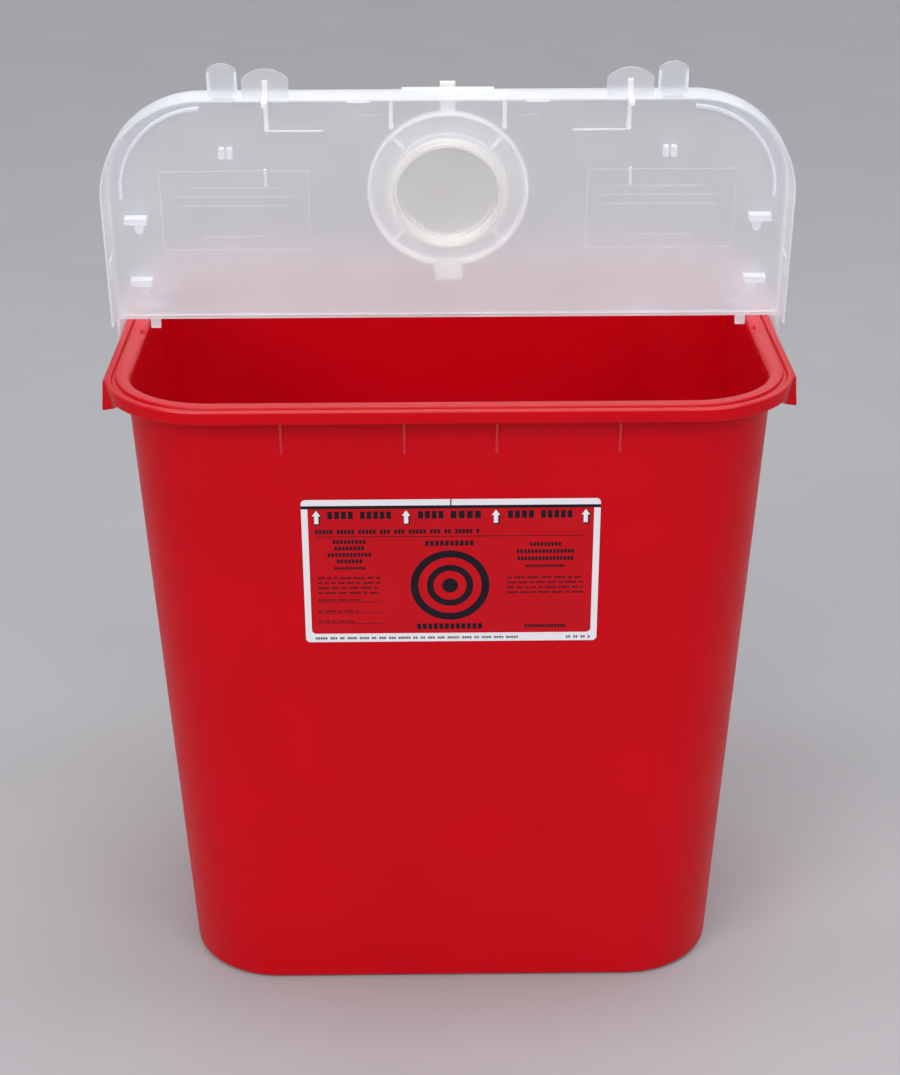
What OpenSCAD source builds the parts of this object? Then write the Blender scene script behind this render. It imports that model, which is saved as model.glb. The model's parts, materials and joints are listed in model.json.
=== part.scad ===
// Sharps container: a tapered tub, a two-part press-on lid with a living hinge
// across its middle, a capped drop port and two press-down locking tabs.
// Millimetres. X is the width, -Y the front, +Z up; the origin is the centre of the base.

/* [Tub] */
// Outside width of the base
base_w = 329.4; // [320:0.2:332]
// Outside depth of the base
base_d = 221; // [212:0.5:223]
// Outside corner radius at the base
base_r = 56.5; // [50:0.5:60]
// Height of the top of the rim
rim_z = 394; // [380:1:400]
// How far each wall leans out between the floor and the rim's band
taper = 17.3; // [14:0.1:17.4]
// Wall thickness
wall = 2.4; // [2:0.1:3]
// Floor thickness
floor_t = 3; // [2:0.1:5]
// Reach of the rim beyond the wall
rim_reach = 12; // [11:0.1:12.2]
// Height of the band that hangs round the rim
band_h = 8.5; // [7:0.1:9]

/* [Ears] */
// Length of each lifting ear along the side
ear_l = 176; // [140:1:180]
// Height that each ear hangs below the top of the rim
ear_drop = 19; // [14:0.5:22]
// How far the ear flares outwards over its height
ear_flare = 2.2; // [0:0.1:2.4]

/* [Lid] */
// Outside width of the lid
lid_w = 396; // [395.4:0.1:400]
// Outside depth of the lid
lid_d = 285.6; // [285:0.1:290]
// Outside corner radius of the lid
lid_r = 60; // [56:0.5:62]
// Top of the lid above the top of the rim
lid_rise = 8; // [7:0.5:10]
// Depth of the skirt
skirt_h = 18; // [17.5:0.1:20]
// Thickness of the top panel
panel_t = 1.8; // [1.4:0.1:2.2]
// Thickness of the skirt
skirt_t = 1.6; // [1.2:0.1:1.7]
// Y position of the fold line
fold_y = -3.5; // [-6:0.5:0]
// Angle of the raised front half from its closed position
open_angle = 83.5; // [0:0.5:90]

/* [Port] */
// Distance of the port's centre from the fold
port_s = 77.6; // [74:0.1:82]
// Radius of the port
port_r = 29.9; // [26:0.1:31]
// Outside radius of the port's collar
collar_r = 34.2; // [33:0.1:36]
// Height of the collar above the panel
collar_h = 5.4; // [4:0.1:5.4]
// Outside radius of the port's cap
cap_r = 46.5; // [44:0.1:48]
// Height of the cap above the panel
cap_h = 7.4; // [7.4:0.1:8]

/* [Tabs] */
// Distance of each locking tab from the middle
lock_x = 124.7; // [122:0.1:130]
// Width of a locking tab
lock_w = 16.4; // [14:0.1:18]
// Reach of a locking tab beyond the skirt
lock_l = 20.5; // [16:0.1:22]
// Distance of each finger tab from the middle
finger_x = 101; // [98:0.1:102]
// Width of a finger tab
finger_w = 26; // [20:0.5:28]
// Reach of a finger tab beyond the skirt
finger_l = 17.4; // [14:0.1:20]

/* [Label] */
// Width of the front label
label_w = 168; // [120:1:200]
// Height of the front label
label_h = 92; // [60:1:120]
// Distance of the label's lower edge from the floor
label_z = 244; // [180:1:250]

/* [Hidden] */

eps = 0.01;
smooth = 96;
hull_smooth = 64;

// Rim and wall. Offsets are measured outwards from the wall's outside face at the band.
band_z = rim_z - band_h;
wall_w = base_w + 2 * taper;
wall_d = base_d + 2 * taper;
wall_r = base_r - 6;
lean = atan(taper / band_z);
flange_t = 2.2;
step_h = 1.4;
band_t = 2;
inner_band = [-wall, 5.5];
outer_ridge = [8.5, 11.5];
ridge_h = 0.8;
mouth_flare = 1.8;
mouth_h = 2.2;

// Ears
side_x = wall_w / 2 + rim_reach;
ear_t = 1.8;

// Lid
lid_z = rim_z + lid_rise;
axis_z = lid_z + 0.6;
bead_r = 0.8;
fold_gap = 0.7;
skirt_low = -skirt_h;
flap_l = lid_d / 2 + fold_y;
rear_l = lid_d / 2 - fold_y;
rest_h = lid_rise - panel_t;
hook_reach = 2.6;

// Port
cap_t = 1.6;
cap_wall = 2;
cap_gap = 0.35;
plug_gap = 0.5;
plug_t = 1.8;
plug_h = 4;
clip_w = 16.5;
clip_t = 1.3;
clip_l = 13.5;
clip_s = port_s - cap_r - 3.6;
barrel_r = 2.2;
strap_w = 7.8;
strap_t = 1.5;
pin_r = 0.9;
pin_h = 2.5;
pin_fit = 0.06;

// Tabs
lock_t = 1.3;
lock_pin_r = 0.8;
lock_fit = 0.06;
lock_pin_s = flap_l + 1.1;
lock_pin_z = -skirt_h + lock_pin_r;

// ---------------------------------------------------------------- outlines

// Rectangle with rounded corners, centred
module rounded_rect(w, d, r, fn = smooth) {
    square([w - 2 * r, d], center = true);
    square([w, d - 2 * r], center = true);
    for (x = [-1, 1], y = [-1, 1])
        translate([x * (w / 2 - r), y * (d / 2 - r)])
            circle(r = r, $fn = fn);
}

// Outline of the wall grown by an offset
module wall_outline(grow, fn = smooth) {
    rounded_rect(wall_w + 2 * grow, wall_d + 2 * grow, wall_r + grow, fn);
}

// Thin level slice of the tub's outside, at a height and an offset inwards
module tub_slice(z, inset) {
    k = z / band_z;
    translate([0, 0, z])
        linear_extrude(eps)
            rounded_rect(
                base_w + 2 * (taper * k - inset),
                base_d + 2 * (taper * k - inset),
                base_r - 6 * min(k, 1) - inset,
                hull_smooth
            );
}

// Ring that follows the wall, between two offsets and two heights
module rim_ring(offsets, z0, z1) {
    translate([0, 0, z0])
        linear_extrude(z1 - z0)
            difference() {
                wall_outline(offsets[1]);
                wall_outline(offsets[0]);
            }
}

// Outline of the lid shrunk by an offset
module lid_outline(shrink) {
    rounded_rect(lid_w - 2 * shrink, lid_d - 2 * shrink, lid_r - shrink);
}

// ---------------------------------------------------------------- tub

module tub_outside() {
    hull() {
        tub_slice(0, 4);
        tub_slice(1.2, 1.2);
        tub_slice(4, 0);
        tub_slice(band_z, 0);
        tub_slice(rim_z - step_h, 0);
    }
}

module tub_inside() {
    hull() {
        tub_slice(floor_t, wall + 3);
        tub_slice(floor_t + 3, wall);
        tub_slice(rim_z - mouth_h, wall);
    }
    hull() {
        tub_slice(rim_z - mouth_h, wall);
        tub_slice(rim_z + eps, wall - mouth_flare);
    }
}

module rim() {
    rim_ring([-wall, rim_reach], rim_z - step_h - flange_t, rim_z - step_h);
    rim_ring(inner_band, rim_z - step_h - flange_t, rim_z);
    rim_ring(outer_ridge, rim_z - step_h - flange_t, rim_z - step_h + ridge_h);
    rim_ring([rim_reach - band_t, rim_reach], band_z, rim_z - step_h);
}

// Lifting ear on the +X side: a flared flange with a curved end at each corner
module ear() {
    top = rim_z - step_h;
    low = rim_z - ear_drop;
    translate([0, ear_l / 2, 0])
        rotate([90, 0, 0])
            linear_extrude(ear_l)
                polygon([
                    [side_x - band_t, top - flange_t],
                    [side_x - band_t, top],
                    [side_x - 0.2, top],
                    [side_x + 0.4, top - 0.7],
                    [side_x + ear_flare, low + 0.4],
                    [side_x + ear_flare - 0.4, low],
                    [side_x + ear_flare - ear_t, low],
                    [side_x - ear_t + 0.3, top - flange_t]
                ]);
    for (end = [0, 1])
        mirror([0, end, 0]) {
            intersection() {
                rim_ring([rim_reach - band_t, rim_reach], low, band_z + 1);
                rotate([90, 0, 90])
                    linear_extrude(side_x + 5)
                        polygon([
                            [ear_l / 2 - 1, low],
                            [ear_l / 2 + 4, low + 2.5],
                            [ear_l / 2 + 12, low + 6.5],
                            [ear_l / 2 + 22, band_z + 0.5],
                            [ear_l / 2 + 22, band_z + 2],
                            [ear_l / 2 - 1, band_z + 2]
                        ]);
            }
            translate([side_x - 4.5, ear_l / 2 - 0.8, low + 3])
                linear_extrude(top - low - 4)
                    square([5, 1.6], center = true);
        }
}

// Small gussets under the rim on the front and back walls
module rim_gussets() {
    for (side = [-1, 1], x = [-93, -25.4, 25.4, 93])
        translate([x + 0.8, side * wall_d / 2, 0])
            rotate([90, 0, -90])
                linear_extrude(1.6)
                    polygon([
                        [side * 1.5, band_z + 6.5],
                        [side * -9, band_z + 6.5],
                        [side * -1.3, band_z - 3],
                        [side * 0.1, band_z - 24],
                        [side * 1.5, band_z - 24]
                    ]);
}

module tub() {
    color("firebrick")
        difference() {
            union() {
                tub_outside();
                rim();
                ear();
                mirror([1, 0, 0]) ear();
                rim_gussets();
            }
            tub_inside();
            for (side = [-1, 1])
                translate([side * (wall_w / 2 - 1.2), fold_y - 3, rim_z])
                    cube([5, 8, 3], center = true);
        }
}

// ---------------------------------------------------------------- label

module front_label() {
    color("white")
        translate([0, -base_d / 2, 0])
            rotate([90 + lean, 0, 0])
                translate([0, label_z / cos(lean) + label_h / 2, 0])
                    linear_extrude(0.25)
                        rounded_rect(label_w, label_h, 3);
}

// ---------------------------------------------------------------- lid

// The lid is drawn with its top face at z = 0 and the fold along X at the origin,
// s being the distance in front of the fold (towards -Y).
module lid_part(from_s, to_s) {
    intersection() {
        translate([0, -fold_y, 0])
            children();
        translate([-lid_w, -to_s, -2 * skirt_h])
            cube([2 * lid_w, to_s - from_s, 3 * skirt_h]);
    }
}

module lid_shell() {
    translate([0, 0, -panel_t])
        linear_extrude(panel_t)
            lid_outline(0);
    translate([0, 0, skirt_low])
        linear_extrude(skirt_h)
            difference() {
                lid_outline(0);
                lid_outline(skirt_t);
            }
}

// Block under the panel that rests on the rim, with its corner by the skirt cut away
module rest_lug(x, s, hang = rest_h) {
    side = sign(x);
    translate([x, -s, -panel_t - hang])
        linear_extrude(hang + eps) {
            translate([0, -2])
                square([13, 4], center = true);
            translate([-side * 2, 2])
                square([4.6, 5], center = true);
            translate([-side * 2, 4.5])
                circle(r = 2.5, $fn = smooth);
        }
}

// Rib under the panel that braces the front skirt and ends in a round foot
module skirt_rib(x, end_s) {
    rib_w = 2.2;
    foot_r = 1.5;
    start_s = flap_l - skirt_t;
    translate([0, 0, -panel_t - 5])
        linear_extrude(5 + eps) {
            translate([x - rib_w / 2, -start_s - eps])
                square([rib_w, start_s - end_s - foot_r]);
            translate([x, -end_s - foot_r])
                circle(r = foot_r, $fn = smooth);
        }
}

// Low line or bar under the panel, given by its middle, size and height
module panel_bar(x, s, w, l, h) {
    translate([x - w / 2, -s - l / 2, -panel_t - h])
        cube([w, l, h + eps]);
}

// Quarter-round rib under the panel that follows the corner on one side
module corner_rib(side) {
    rib_r = lid_r - 10;
    rib_w = 1.6;
    translate([side * (lid_w / 2 - lid_r), -(flap_l - lid_r), -panel_t - 3])
        linear_extrude(3 + eps)
            difference() {
                intersection() {
                    circle(r = rib_r + rib_w / 2, $fn = smooth);
                    translate([side > 0 ? -3.4 : -lid_r, -lid_r])
                        square([lid_r + 3.4, lid_r + 4]);
                }
                circle(r = rib_r - rib_w / 2, $fn = smooth);
            }
}

// Thin raised outline of a rectangle under the panel
module panel_frame(x, s, w, l) {
    line = 0.8;
    translate([x, -s, -panel_t - 0.3])
        linear_extrude(0.3 + eps)
            difference() {
                square([w, l], center = true);
                square([w - 2 * line, l - 2 * line], center = true);
            }
}

// Rounded tongue in the skirt's free edge plane, pointing forwards
module tongue(w, reach, root, t) {
    rise = w / 4.5;
    r = (w * w / 4 + rise * rise) / (2 * rise);
    linear_extrude(t) {
        translate([-w / 2, -(reach - rise)])
            square([w, reach - rise + root]);
        intersection() {
            translate([0, -(reach - r)])
                circle(r = r, $fn = smooth);
            translate([-w / 2, -reach])
                square([w, rise + eps]);
        }
    }
}

module finger_tab(side) {
    translate([side * finger_x, -flap_l, skirt_low]) {
        tongue(finger_w, finger_l, skirt_t, 1.2);
        translate([-1.6, -11, -1.6])
            cube([3.2, 11 + skirt_t, 1.6 + eps]);
        translate([-1.6, -2.6, -13])
            cube([3.2, 2.6, 13 + eps]);
    }
}

// Grooved foot on the skirt that a locking tab hinges in
module lock_foot(side) {
    translate([side * lock_x, 0, 0])
        difference() {
            translate([-6, -lock_pin_s - 0.1, skirt_low])
                cube([12, lock_pin_s - flap_l + skirt_t, 2.6]);
            translate([-7, -lock_pin_s, lock_pin_z])
                rotate([0, 90, 0])
                    cylinder(r = lock_pin_r + lock_fit, h = 14, $fn = smooth);
        }
}

module flap_closed() {
    difference() {
        union() {
            lid_part(fold_gap, flap_l + 1)
                lid_shell();
            translate([0, -port_s, -panel_t])
                cylinder(r = collar_r, h = panel_t + collar_h, $fn = smooth);
        }
        translate([0, -port_s, -panel_t - 1])
            cylinder(r = port_r, h = panel_t + collar_h + 2, $fn = smooth);
    }
    for (side = [-1, 1]) {
        corner_rib(side);
        rest_lug(side * 180.5, 61);
        rest_lug(side * 180, 22.5);
        finger_tab(side);
        lock_foot(side);
        skirt_rib(side * 32, 117.5);
        skirt_rib(side * 102.2, 116.5);
        panel_bar(side * 86, 115.3, 31, 0.8, 1.2);
        panel_bar(side * 41, 123.8, 7, 0.8, 1.2);
        panel_bar(side * 104.5, 87.8, 1.6, 10, 2);
        panel_bar(side * (lid_w / 2 - skirt_t), 35.5, 1.6, 12, skirt_h - panel_t - 3);
        for (post = [-2.2, 2.2])
            panel_bar(side * 126.3 + post, 102.3, 2.8, 8.4, 5);
        panel_frame(side * 123, 67.2, 86, 48.9);
        translate([side * 50 - 6.5, -flap_l + skirt_t - eps, skirt_low])
            cube([13, 0.8, 1.6]);
    }
    translate([-26, -flap_l - 0.9, -6])
        cube([52, 1, 6]);
}

module to_rest_pose() {
    translate([0, fold_y, axis_z])
        rotate([-open_angle, 0, 0])
            translate([0, 0, lid_z - axis_z])
                children();
}

module lid_flap() {
    color("gainsboro")
        to_rest_pose() flap_closed();
}

module lid_rear() {
    color("gainsboro")
        translate([0, fold_y, lid_z]) {
            lid_part(-rear_l - 1, -fold_gap)
                lid_shell();
            for (side = [-1, 1]) {
                rest_lug(side * 180.5, -30);
                rest_lug(side * 180.5, -68);
                translate([side * 175.2 - 3, 5, -13])
                    cube([6, 2.2, 13 - panel_t + eps]);
                translate([side * 50 - 6.5, rear_l - skirt_t - hook_reach, skirt_low])
                    cube([13, hook_reach + eps, 1.3]);
                translate([side * 60 - 3, rear_l - skirt_t - 11, -panel_t - rest_h])
                    cube([6, 11 + eps, rest_h + eps]);
            }
        }
}

// Round bead of the living hinge and the web that joins it to the rear half
module lid_hinge() {
    color("whitesmoke")
        translate([0, fold_y, axis_z]) {
            rotate([0, 90, 0])
                cylinder(r = bead_r, h = lid_w - 6, center = true, $fn = smooth);
            translate([-lid_w / 2 + 3, 0, lid_z - axis_z - 0.6])
                cube([lid_w - 6, fold_gap, 0.7]);
        }
}

// ---------------------------------------------------------------- port cap

// Plate fixed to the panel, with two knuckles that hold the cap's hinge pin
module clip_closed() {
    slot_w = strap_w + 0.6;
    knuckle_w = (clip_w - slot_w) / 2;
    translate([-clip_w / 2, -clip_s + 5 - clip_l, 0])
        cube([clip_w, clip_l, clip_t]);
    for (side = [-1, 1])
        translate([side * (slot_w + knuckle_w) / 2, -clip_s, 0])
            difference() {
                union() {
                    translate([0, 0, pin_h])
                        rotate([0, 90, 0])
                            cylinder(r = barrel_r, h = knuckle_w, center = true, $fn = smooth);
                    translate([-knuckle_w / 2, -barrel_r, 0])
                        cube([knuckle_w, 2 * barrel_r, pin_h]);
                }
                translate([0, 0, pin_h])
                    rotate([0, 90, 0])
                        cylinder(r = pin_r + pin_fit, h = clip_w, center = true, $fn = smooth);
            }
}

module cap_hinge_clip() {
    color("whitesmoke")
        to_rest_pose() clip_closed();
}

module cap_closed() {
    disc_z = cap_h - cap_t;
    translate([0, -port_s, 0]) {
        translate([0, 0, disc_z])
            cylinder(r = cap_r, h = cap_t, $fn = smooth);
        translate([0, 0, cap_gap])
            difference() {
                cylinder(r = cap_r, h = disc_z - cap_gap + eps, $fn = smooth);
                translate([0, 0, -1])
                    cylinder(r = cap_r - cap_wall, h = disc_z + 2, $fn = smooth);
                translate([-clip_w / 2 - 0.5, cap_r - 8, -1])
                    cube([clip_w + 1, 10, clip_t + 1.1]);
            }
        translate([0, 0, disc_z - plug_h])
            difference() {
                cylinder(r = port_r - plug_gap, h = plug_h + eps, $fn = smooth);
                translate([0, 0, -1])
                    cylinder(r = port_r - plug_gap - plug_t, h = plug_h + 2, $fn = smooth);
            }
    }
    translate([-4.4, -flap_l - 1.6, disc_z - 1])
        cube([8.8, flap_l + 1.6 - port_s - cap_r + 1, 1.6]);
    translate([-4.4, -flap_l - 1.6, disc_z - 1])
        cube([8.8, 1.4, 3.2]);
    translate([-strap_w / 2, -clip_s - 4.2, pin_h - strap_t / 2])
        cube([strap_w, 4.2, strap_t]);
    translate([-clip_w / 2, -clip_s, pin_h])
        rotate([0, 90, 0])
            cylinder(r = pin_r, h = clip_w, $fn = smooth);
}

module port_cap() {
    color("whitesmoke")
        to_rest_pose() cap_closed();
}

// ---------------------------------------------------------------- locking tabs

// Channel-shaped tab with a round nose, hinged on a pin at its root
module lock_tab_closed() {
    translate([0, -lock_pin_s, lock_pin_z]) {
        rotate([0, 90, 0])
            cylinder(r = lock_pin_r, h = 12, center = true, $fn = smooth);
        translate([0, -1.3, -lock_t / 2])
            tongue(lock_w, lock_l - 2.4, 0, lock_t);
        translate([-5.6, -1.3 - eps, -lock_t / 2])
            cube([11.2, 1.3, lock_t]);
        for (side = [-1, 1])
            translate([side * (lock_w / 2 - 0.7) - 0.7, -lock_l + 7.2, 0])
                cube([1.4, lock_l - 8.5, 3.4]);
    }
}

module lock_tab_left() {
    color("whitesmoke")
        to_rest_pose()
            translate([-lock_x, 0, 0])
                lock_tab_closed();
}

module lock_tab_right() {
    color("whitesmoke")
        to_rest_pose()
            translate([lock_x, 0, 0])
                lock_tab_closed();
}

tub();
front_label();
lid_rear();
lid_hinge();
lid_flap();
cap_hinge_clip();
port_cap();
lock_tab_left();
lock_tab_right();
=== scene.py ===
"""Looks of the sharps container: a red moulded tub, its printed label and a milky two-part lid.

Shapes are drawn in millimetres in the shared frame and scaled to metres as they become meshes. The raised
front half of the lid and everything on it are drawn as they lie with the lid closed, then turned about the
fold to the rest pose.
"""

import json
import math
import random

import bmesh
import bpy
from mathutils import Matrix, Vector
from mathutils.geometry import tessellate_polygon


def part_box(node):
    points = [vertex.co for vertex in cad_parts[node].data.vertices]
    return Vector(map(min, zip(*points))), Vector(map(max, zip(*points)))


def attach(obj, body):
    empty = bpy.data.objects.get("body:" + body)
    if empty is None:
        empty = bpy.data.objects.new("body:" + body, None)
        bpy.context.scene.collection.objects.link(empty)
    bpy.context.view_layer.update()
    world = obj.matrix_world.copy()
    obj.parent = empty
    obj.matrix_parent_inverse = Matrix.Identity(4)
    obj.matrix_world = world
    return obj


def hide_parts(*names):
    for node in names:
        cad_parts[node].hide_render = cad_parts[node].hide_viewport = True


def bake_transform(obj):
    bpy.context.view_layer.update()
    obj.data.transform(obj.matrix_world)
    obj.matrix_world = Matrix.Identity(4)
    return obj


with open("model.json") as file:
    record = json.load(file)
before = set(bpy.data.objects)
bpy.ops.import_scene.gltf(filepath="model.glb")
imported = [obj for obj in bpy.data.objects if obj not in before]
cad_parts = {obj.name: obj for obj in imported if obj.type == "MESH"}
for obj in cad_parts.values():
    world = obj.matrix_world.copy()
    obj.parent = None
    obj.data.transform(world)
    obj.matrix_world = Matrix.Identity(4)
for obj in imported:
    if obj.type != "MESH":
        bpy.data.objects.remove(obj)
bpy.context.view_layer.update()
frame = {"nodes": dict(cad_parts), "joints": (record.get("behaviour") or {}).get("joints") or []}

MM = 0.001
MERGE = 0.004
SHARP_ANGLE = math.radians(38)

# ---------------------------------------------------------------- sizes from the frame


def box_mm(name):
    """Lowest and highest corner of a CAD node, in millimetres."""
    low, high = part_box(name)
    return low / MM, high / MM


def joint_named(name):
    return next(joint for joint in frame["joints"] if joint["name"] == name)


_, tub_high = box_mm("tub")
label_low, label_high = box_mm("front_label")
rear_low, rear_high = box_mm("lid_rear")

# Tub
RIM_TOP = tub_high.z
GROOVE = RIM_TOP - 2.4
BAND_TOP = RIM_TOP - 1.5
BAND_LOW = RIM_TOP - 8.5
RIM_REACH = 12.0
EAR_BULGE = 0.9
EAR_FLARE = 2.2
EAR_LOW = RIM_TOP - 19.0
EAR_HALF = 87.4
WALL_HALF_W = tub_high.x - EAR_FLARE - RIM_REACH
WALL_HALF_D = tub_high.y - RIM_REACH
WALL_RADIUS = 50.5
BASE_EXTRA_RADIUS = 6.0
TAPER = 17.3
WALL = 2.4
FLOOR = 3.0
FLOOR_FILLET = 6.0
FOOT_ROUND = 4.0
FOOT_RECESS = 14.0
GUSSET_IN = 25.4
GUSSET_OUT = 93.0
GUSSET_T = 1.7
LEAN = math.atan(TAPER / BAND_LOW)

# Lid
LID_TOP = rear_high.z
LID_HALF_W = rear_high.x
LID_RADIUS = 60.0
FOLD = Vector(joint_named("lid_fold")["pos_m"]) / MM
OPEN_ANGLE = math.radians(max(joint_named("lid_fold")["range_deg"]))
FOLD_GAP = 1.3
FLAP_REACH = rear_high.y + FOLD.y
REAR_REACH = rear_high.y - FOLD.y
SKIRT_DEPTH = LID_TOP - rear_low.z
SKIRT_T = 1.6
PANEL_T = 1.8
LUG_H = 6.05
LUG_W = 13.0
LUG_L = 4.0
HOOK_X = 50.0
HOOK_W = 13.0

# Port and cap
PORT_S = 77.6
PORT_R = 29.9
COLLAR_R = 34.2
COLLAR_H = 5.4
CHUTE_LOW = -PANEL_T - 7.5
CHUTE_T = 2.0
PLUG_R = PORT_R - 0.5
PLUG_T = 1.2
PLUG_H = 4.0
CAP_R = 46.5
CAP_H = 7.4
CAP_T = 1.6
CAP_WALL = 1.4
CLIP_S = PORT_S - CAP_R - 3.6
CLIP_W = 16.5
CLIP_SLOT = 8.4
PIN_H = 2.5
PIN_R = 0.9

# Tabs on the front edge
LOCK_X = 124.7
LOCK_W = 16.4
LOCK_REACH = 20.5
LOCK_PIN_S = FLAP_REACH + 1.1
LOCK_PIN_Z = -SKIRT_DEPTH + 0.8
LOCK_FOOT_HALF_W = 6.0
FINGER_X = 101.0
FINGER_W = 26.0
FINGER_REACH = 17.4

CORNER_STEPS = 48

# Turns an outline drawn in (Y, Z) and given a thickness into one that lies across X
ACROSS = Matrix(((0, 0, 1, 0), (1, 0, 0, 0), (0, 1, 0, 0), (0, 0, 0, 1)))

to_rest = (
    Matrix.Translation(FOLD)
    @ Matrix.Rotation(-OPEN_ANGLE, 4, "X")
    @ Matrix.Translation(-FOLD)
)


# ---------------------------------------------------------------- mesh helpers


def lerp(a, b, t):
    return a + (b - a) * t


def ramp(value, start, end):
    """0 before start, 1 after end, and smooth between them."""
    t = min(max((value - start) / (end - start), 0.0), 1.0)
    return t * t * (3 - 2 * t)


def arc(centre, radius, start, end, steps):
    """Points on an arc, from one angle in degrees to another."""
    points = []
    for step in range(steps + 1):
        angle = math.radians(lerp(start, end, step / steps))
        points.append((centre[0] + radius * math.cos(angle), centre[1] + radius * math.sin(angle)))
    return points


def merge(target, part, place=None):
    """Moves a bmesh part by a matrix and adds it to another bmesh."""
    if place is not None:
        part.transform(place)
        if place.determinant() < 0:
            bmesh.ops.reverse_faces(part, faces=part.faces)
    mesh = bpy.data.meshes.new("part")
    part.to_mesh(mesh)
    part.free()
    target.from_mesh(mesh)
    bpy.data.meshes.remove(mesh)


def soften(part, width):
    """Rounds every edge of a part that is sharper than the shading limit."""
    if width <= 0:
        return
    edges = [e for e in part.edges if len(e.link_faces) == 2 and e.calc_face_angle() > SHARP_ANGLE]
    bmesh.ops.bevel(
        part, geom=edges, offset=width, segments=2, profile=0.6, affect="EDGES", clamp_overlap=True
    )


def add_loft(target, rings, caps=(True, True), slots=(), place=None):
    """Skins a list of rings that all have the same number of points. slots lists the steps from one ring to
    the next that take the second material."""
    part = bmesh.new()
    rows = [[part.verts.new(point) for point in ring] for ring in rings]
    count = len(rows[0])
    for step, (low, high) in enumerate(zip(rows, rows[1:])):
        for i in range(count):
            j = (i + 1) % count
            face = part.faces.new((low[i], low[j], high[j], high[i]))
            face.material_index = int(step in slots)
    if caps[0]:
        part.faces.new(list(reversed(rows[0])))
    if caps[1]:
        part.faces.new(rows[-1])
    bmesh.ops.remove_doubles(part, verts=part.verts, dist=MERGE)
    bmesh.ops.dissolve_degenerate(part, edges=part.edges, dist=MERGE / 10)
    bmesh.ops.recalc_face_normals(part, faces=part.faces)
    merge(target, part, place)


def add_prism(target, outline, low, high, soft=0.25, slot=0, place=None):
    """Adds an upright prism over an outline, with its edges softened."""
    part = bmesh.new()
    bottom = [part.verts.new((x, y, low)) for x, y in outline]
    top = [part.verts.new((x, y, high)) for x, y in outline]
    part.faces.new(list(reversed(bottom)))
    part.faces.new(top)
    for i in range(len(outline)):
        j = (i + 1) % len(outline)
        part.faces.new((bottom[i], bottom[j], top[j], top[i]))
    bmesh.ops.recalc_face_normals(part, faces=part.faces)
    soften(part, soft)
    for face in part.faces:
        face.material_index = slot
    merge(target, part, place)


def rectangle(x0, y0, x1, y1):
    return [(x0, y0), (x1, y0), (x1, y1), (x0, y1)]


def add_bar(target, centre, size, soft=0.25, slot=0, place=None):
    """Adds a softened rectangular bar, given by its centre and its size along X, Y and Z."""
    (x, y, z), (w, d, h) = centre, size
    outline = rectangle(x - w / 2, y - d / 2, x + w / 2, y + d / 2)
    add_prism(target, outline, z - h / 2, z + h / 2, soft, slot, place)


def add_lathe(target, profile, steps=128, centre=(0.0, 0.0), shape=None, slots=(), place=None):
    """Turns a profile of (radius, z) points about an upright axis. shape may move single points."""
    rings = []
    for radius, z in profile:
        ring = []
        for step in range(steps):
            angle = 2 * math.pi * step / steps
            point = (
                centre[0] + max(radius, 0.001) * math.cos(angle),
                centre[1] + max(radius, 0.001) * math.sin(angle),
                z,
            )
            ring.append(shape(point) if shape else point)
        rings.append(ring)
    ends = (profile[0][0] < 0.01, profile[-1][0] < 0.01)
    add_loft(target, rings, ends, slots, place)


def make_piece(name, source, materials, body=None, stands_for=()):
    """Turns a bmesh in millimetres into a finished piece that rides on a CAD body."""
    bmesh.ops.scale(source, vec=(MM, MM, MM), verts=source.verts)
    mesh = bpy.data.meshes.new(name)
    source.to_mesh(mesh)
    source.free()
    for material in materials:
        mesh.materials.append(material)
    mesh.shade_smooth()
    mesh.set_sharp_from_angle(angle=SHARP_ANGLE)
    piece = bpy.data.objects.new(name, mesh)
    bpy.context.scene.collection.objects.link(piece)
    if len(mesh.polygons) > 40:
        normals = piece.modifiers.new("even shading", "WEIGHTED_NORMAL")
        normals.keep_sharp = True
    if body:
        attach(piece, body)
    if stands_for:
        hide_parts(*stands_for)
    return piece


# ---------------------------------------------------------------- materials


def new_material(name):
    material = bpy.data.materials.new(name)
    material.use_nodes = True
    material.node_tree.nodes.clear()
    return material


def add_node(material, kind, inputs=None, **settings):
    """Adds a shader node. An input's value is a constant or another node's output."""
    node = material.node_tree.nodes.new(kind)
    for name, value in settings.items():
        setattr(node, name, value)
    for name, value in (inputs or {}).items():
        if isinstance(value, bpy.types.NodeSocket):
            material.node_tree.links.new(value, node.inputs[name])
        else:
            node.inputs[name].default_value = value
    return node


def noise(material, place, scale, detail=3.0, roughness=0.5):
    """A noise pattern's value; scale is in repeats a metre."""
    inputs = {"Vector": place, "Scale": scale, "Detail": detail, "Roughness": roughness}
    return add_node(material, "ShaderNodeTexNoise", inputs).outputs["Fac"]


def spread(material, value, low, high, from_low=0.3, from_high=0.7):
    """Stretches a pattern's middle range to the range from low to high."""
    inputs = {"Value": value, "From Min": from_low, "From Max": from_high, "To Min": low, "To Max": high}
    return add_node(material, "ShaderNodeMapRange", inputs).outputs["Result"]


def mix_colour(material, share, first, second):
    inputs = {"Factor": share}
    node = add_node(material, "ShaderNodeMix", inputs, data_type="RGBA")
    for key, colour in (("A", first), ("B", second)):
        socket = next(s for s in node.inputs if s.name == key and s.type == "RGBA")
        socket.default_value = colour
    return next(s for s in node.outputs if s.type == "RGBA")


def mix_shaders(material, share, first, second):
    return add_node(material, "ShaderNodeMixShader", {0: share, 1: first, 2: second}).outputs["Shader"]


def object_place(material):
    return add_node(material, "ShaderNodeTexCoord").outputs["Object"]


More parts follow.
